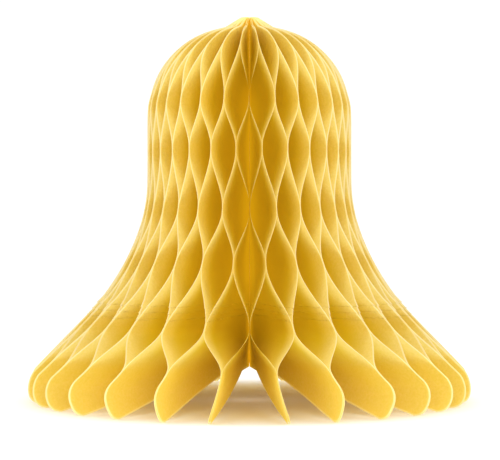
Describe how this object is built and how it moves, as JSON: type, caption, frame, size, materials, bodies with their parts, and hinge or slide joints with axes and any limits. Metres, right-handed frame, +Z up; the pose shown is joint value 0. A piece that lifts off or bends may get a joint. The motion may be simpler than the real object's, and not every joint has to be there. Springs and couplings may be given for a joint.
{
  "type": "paper honeycomb bell",
  "caption": "Folding bell of yellow honeycomb tissue: domed top, straight neck, flared petal rim, two cover boards that swing round the spine to close it",
  "frame": {"origin": "on the spine's axis, level with the petal tips that the open bell stands on, in the middle of its footprint", "axes": "+Z up along the spine; +Y towards the seam where the two cover boards meet; +X to the right when the bell is seen from the side away from the seam"},
  "size_m": [0.2462, 0.2433, 0.214],
  "materials": {
    "tissue": "golden yellow honeycomb tissue, dull and translucent",
    "cover_board": "yellow pulpboard, matt",
    "thread": "twisted cotton binding thread",
    "adhesive_pad": "white double-sided adhesive pad"
  },
  "bodies": {
    "cover_a": {"cover_a": "cover_board", "spine_thread": "thread", "closure_pad_upper": "adhesive_pad", "closure_pad_lower": "adhesive_pad"},
    "leaf_pair_01": {"leaf_pair_01": "tissue"},
    "leaf_pair_02": {"leaf_pair_02": "tissue"},
    "leaf_pair_03": {"leaf_pair_03": "tissue"},
    "leaf_pair_04": {"leaf_pair_04": "tissue"},
    "leaf_pair_05": {"leaf_pair_05": "tissue"},
    "leaf_pair_06": {"leaf_pair_06": "tissue"},
    "leaf_pair_07": {"leaf_pair_07": "tissue"},
    "leaf_pair_08": {"leaf_pair_08": "tissue"},
    "leaf_pair_09": {"leaf_pair_09": "tissue"},
    "leaf_pair_10": {"leaf_pair_10": "tissue"},
    "leaf_pair_11": {"leaf_pair_11": "tissue"},
    "leaf_pair_12": {"leaf_pair_12": "tissue"},
    "leaf_pair_13": {"leaf_pair_13": "tissue"},
    "leaf_pair_14": {"leaf_pair_14": "tissue"},
    "leaf_pair_15": {"leaf_pair_15": "tissue"},
    "leaf_pair_16": {"leaf_pair_16": "tissue"},
    "leaf_pair_17": {"leaf_pair_17": "tissue"},
    "leaf_pair_18": {"leaf_pair_18": "tissue"},
    "leaf_pair_19": {"leaf_pair_19": "tissue"},
    "leaf_pair_20": {"leaf_pair_20": "tissue"},
    "leaf_pair_21": {"leaf_pair_21": "tissue"},
    "leaf_pair_22": {"leaf_pair_22": "tissue"},
    "leaf_pair_23": {"leaf_pair_23": "tissue"},
    "leaf_pair_24": {"leaf_pair_24": "tissue"},
    "leaf_pair_25": {"leaf_pair_25": "tissue"},
    "leaf_pair_26": {"leaf_pair_26": "tissue"},
    "leaf_pair_27": {"leaf_pair_27": "tissue"},
    "leaf_pair_28": {"leaf_pair_28": "tissue"},
    "leaf_pair_29": {"leaf_pair_29": "tissue"},
    "leaf_pair_30": {"leaf_pair_30": "tissue"},
    "cover_b": {"cover_b": "cover_board"}
  },
  "joints": [
    {"name": "fold", "type": "hinge", "parent": "cover_a", "child": "leaf_pair_01", "pos_m": [0, 0, 0.1], "axis": [0, 0, -1], "range_deg": [0, 6.19]},
    {"name": "leaf_hinge_02", "type": "hinge", "parent": "leaf_pair_01", "child": "leaf_pair_02", "pos_m": [0, 0, 0.1], "axis": [0, 0, -1], "range_deg": [0, 12.79]},
    {"name": "leaf_hinge_03", "type": "hinge", "parent": "leaf_pair_02", "child": "leaf_pair_03", "pos_m": [0, 0, 0.1], "axis": [0, 0, -1], "range_deg": [0, 12.16]},
    {"name": "leaf_hinge_04", "type": "hinge", "parent": "leaf_pair_03", "child": "leaf_pair_04", "pos_m": [0, 0, 0.1], "axis": [0, 0, -1], "range_deg": [0, 11.29]},
    {"name": "leaf_hinge_05", "type": "hinge", "parent": "leaf_pair_04", "child": "leaf_pair_05", "pos_m": [0, 0, 0.1], "axis": [0, 0, -1], "range_deg": [0, 10.33]},
    {"name": "leaf_hinge_06", "type": "hinge", "parent": "leaf_pair_05", "child": "leaf_pair_06", "pos_m": [0, 0, 0.1], "axis": [0, 0, -1], "range_deg": [0, 9.44]},
    {"name": "leaf_hinge_07", "type": "hinge", "parent": "leaf_pair_06", "child": "leaf_pair_07", "pos_m": [0, 0, 0.1], "axis": [0, 0, -1], "range_deg": [0, 8.78]},
    {"name": "leaf_hinge_08", "type": "hinge", "parent": "leaf_pair_07", "child": "leaf_pair_08", "pos_m": [0, 0, 0.1], "axis": [0, 0, -1], "range_deg": [0, 8.44]},
    {"name": "leaf_hinge_09", "type": "hinge", "parent": "leaf_pair_08", "child": "leaf_pair_09", "pos_m": [0, 0, 0.1], "axis": [0, 0, -1], "range_deg": [0, 8.49]},
    {"name": "leaf_hinge_10", "type": "hinge", "parent": "leaf_pair_09", "child": "leaf_pair_10", "pos_m": [0, 0, 0.1], "axis": [0, 0, -1], "range_deg": [0, 8.92]},
    {"name": "leaf_hinge_11", "type": "hinge", "parent": "leaf_pair_10", "child": "leaf_pair_11", "pos_m": [0, 0, 0.1], "axis": [0, 0, -1], "range_deg": [0, 9.65]},
    {"name": "leaf_hinge_12", "type": "hinge", "parent": "leaf_pair_11", "child": "leaf_pair_12", "pos_m": [0, 0, 0.1], "axis": [0, 0, -1], "range_deg": [0, 10.57]},
    {"name": "leaf_hinge_13", "type": "hinge", "parent": "leaf_pair_12", "child": "leaf_pair_13", "pos_m": [0, 0, 0.1], "axis": [0, 0, -1], "range_deg": [0, 11.52]},
    {"name": "leaf_hinge_14", "type": "hinge", "parent": "leaf_pair_13", "child": "leaf_pair_14", "pos_m": [0, 0, 0.1], "axis": [0, 0, -1], "range_deg": [0, 12.34]},
    {"name": "leaf_hinge_15", "type": "hinge", "parent": "leaf_pair_14", "child": "leaf_pair_15", "pos_m": [0, 0, 0.1], "axis": [0, 0, -1], "range_deg": [0, 12.9]},
    {"name": "leaf_hinge_16", "type": "hinge", "parent": "leaf_pair_15", "child": "leaf_pair_16", "pos_m": [0, 0, 0.1], "axis": [0, 0, -1], "range_deg": [0, 13.09]},
    {"name": "leaf_hinge_17", "type": "hinge", "parent": "leaf_pair_16", "child": "leaf_pair_17", "pos_m": [0, 0, 0.1], "axis": [0, 0, -1], "range_deg": [0, 12.9]},
    {"name": "leaf_hinge_18", "type": "hinge", "parent": "leaf_pair_17", "child": "leaf_pair_18", "pos_m": [0, 0, 0.1], "axis": [0, 0, -1], "range_deg": [0, 12.34]},
    {"name": "leaf_hinge_19", "type": "hinge", "parent": "leaf_pair_18", "child": "leaf_pair_19", "pos_m": [0, 0, 0.1], "axis": [0, 0, -1], "range_deg": [0, 11.52]},
    {"name": "leaf_hinge_20", "type": "hinge", "parent": "leaf_pair_19", "child": "leaf_pair_20", "pos_m": [0, 0, 0.1], "axis": [0, 0, -1], "range_deg": [0, 10.57]},
    {"name": "leaf_hinge_21", "type": "hinge", "parent": "leaf_pair_20", "child": "leaf_pair_21", "pos_m": [0, 0, 0.1], "axis": [0, 0, -1], "range_deg": [0, 9.65]},
    {"name": "leaf_hinge_22", "type": "hinge", "parent": "leaf_pair_21", "child": "leaf_pair_22", "pos_m": [0, 0, 0.1], "axis": [0, 0, -1], "range_deg": [0, 8.92]},
    {"name": "leaf_hinge_23", "type": "hinge", "parent": "leaf_pair_22", "child": "leaf_pair_23", "pos_m": [0, 0, 0.1], "axis": [0, 0, -1], "range_deg": [0, 8.49]},
    {"name": "leaf_hinge_24", "type": "hinge", "parent": "leaf_pair_23", "child": "leaf_pair_24", "pos_m": [0, 0, 0.1], "axis": [0, 0, -1], "range_deg": [0, 8.44]},
    {"name": "leaf_hinge_25", "type": "hinge", "parent": "leaf_pair_24", "child": "leaf_pair_25", "pos_m": [0, 0, 0.1], "axis": [0, 0, -1], "range_deg": [0, 8.78]},
    {"name": "leaf_hinge_26", "type": "hinge", "parent": "leaf_pair_25", "child": "leaf_pair_26", "pos_m": [0, 0, 0.1], "axis": [0, 0, -1], "range_deg": [0, 9.44]},
    {"name": "leaf_hinge_27", "type": "hinge", "parent": "leaf_pair_26", "child": "leaf_pair_27", "pos_m": [0, 0, 0.1], "axis": [0, 0, -1], "range_deg": [0, 10.33]},
    {"name": "leaf_hinge_28", "type": "hinge", "parent": "leaf_pair_27", "child": "leaf_pair_28", "pos_m": [0, 0, 0.1], "axis": [0, 0, -1], "range_deg": [0, 11.29]},
    {"name": "leaf_hinge_29", "type": "hinge", "parent": "leaf_pair_28", "child": "leaf_pair_29", "pos_m": [0, 0, 0.1], "axis": [0, 0, -1], "range_deg": [0, 12.16]},
    {"name": "leaf_hinge_30", "type": "hinge", "parent": "leaf_pair_29", "child": "leaf_pair_30", "pos_m": [0, 0, 0.1], "axis": [0, 0, -1], "range_deg": [0, 12.79]},
    {"name": "cover_hinge", "type": "hinge", "parent": "leaf_pair_30", "child": "cover_b", "pos_m": [0, 0, 0.1], "axis": [0, 0, -1], "range_deg": [0, 6.19]}
  ],
  "couplings": [
    {"joint": "leaf_hinge_02", "follows": "fold", "ratio": 2.0656},
    {"joint": "leaf_hinge_03", "follows": "fold", "ratio": 1.9634},
    {"joint": "leaf_hinge_04", "follows": "fold", "ratio": 1.8232},
    {"joint": "leaf_hinge_05", "follows": "fold", "ratio": 1.6684},
    {"joint": "leaf_hinge_06", "follows": "fold", "ratio": 1.525},
    {"joint": "leaf_hinge_07", "follows": "fold", "ratio": 1.4169},
    {"joint": "leaf_hinge_08", "follows": "fold", "ratio": 1.3623},
    {"joint": "leaf_hinge_09", "follows": "fold", "ratio": 1.3702},
    {"joint": "leaf_hinge_10", "follows": "fold", "ratio": 1.4395},
    {"joint": "leaf_hinge_11", "follows": "fold", "ratio": 1.5584},
    {"joint": "leaf_hinge_12", "follows": "fold", "ratio": 1.707},
    {"joint": "leaf_hinge_13", "follows": "fold", "ratio": 1.8606},
    {"joint": "leaf_hinge_14", "follows": "fold", "ratio": 1.9933},
    {"joint": "leaf_hinge_15", "follows": "fold", "ratio": 2.083},
    {"joint": "leaf_hinge_16", "follows": "fold", "ratio": 2.1147},
    {"joint": "leaf_hinge_17", "follows": "fold", "ratio": 2.083},
    {"joint": "leaf_hinge_18", "follows": "fold", "ratio": 1.9933},
    {"joint": "leaf_hinge_19", "follows": "fold", "ratio": 1.8606},
    {"joint": "leaf_hinge_20", "follows": "fold", "ratio": 1.707},
    {"joint": "leaf_hinge_21", "follows": "fold", "ratio": 1.5584},
    {"joint": "leaf_hinge_22", "follows": "fold", "ratio": 1.4395},
    {"joint": "leaf_hinge_23", "follows": "fold", "ratio": 1.3702},
    {"joint": "leaf_hinge_24", "follows": "fold", "ratio": 1.3623},
    {"joint": "leaf_hinge_25", "follows": "fold", "ratio": 1.4169},
    {"joint": "leaf_hinge_26", "follows": "fold", "ratio": 1.525},
    {"joint": "leaf_hinge_27", "follows": "fold", "ratio": 1.6684},
    {"joint": "leaf_hinge_28", "follows": "fold", "ratio": 1.8232},
    {"joint": "leaf_hinge_29", "follows": "fold", "ratio": 1.9634},
    {"joint": "leaf_hinge_30", "follows": "fold", "ratio": 2.0656},
    {"joint": "cover_hinge", "follows": "fold", "ratio": 1}
  ]
}
